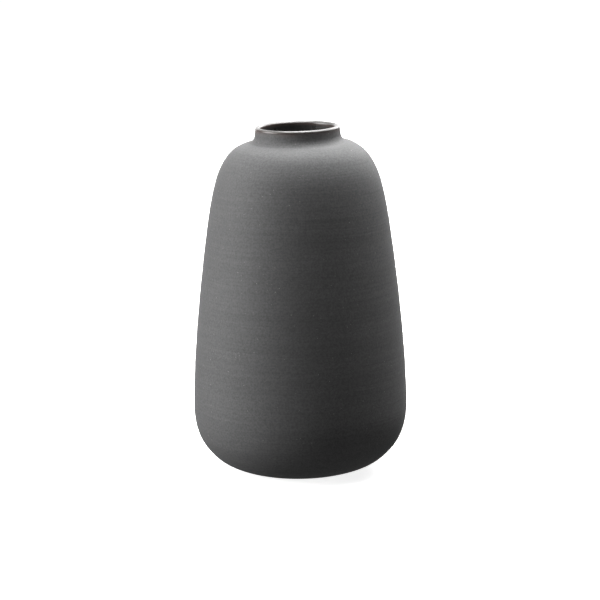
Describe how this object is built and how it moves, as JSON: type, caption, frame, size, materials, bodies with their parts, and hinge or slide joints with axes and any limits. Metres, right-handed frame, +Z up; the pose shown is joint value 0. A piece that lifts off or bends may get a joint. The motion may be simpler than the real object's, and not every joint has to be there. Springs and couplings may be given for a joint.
{
  "type": "stoneware vase",
  "caption": "Tall rounded pottery vase with a matt unglazed outside, a glazed inside and a narrow low collar mouth.",
  "frame": {"origin": "centre of the foot, on the plane the vase stands on", "axes": "+Z up along the throwing axis, out of the mouth; the vase is round, so X and Y are free"},
  "size_m": [0.154, 0.154, 0.25],
  "materials": {
    "stoneware": "unglazed matt charcoal stoneware with fine turning lines and light specks",
    "glaze": "satin charcoal liner glaze, with a faint warm brown tint where it thins at the rim"
  },
  "bodies": {
    "root": {"stoneware_body": "stoneware", "interior_glaze": "glaze"}
  },
  "joints": []
}
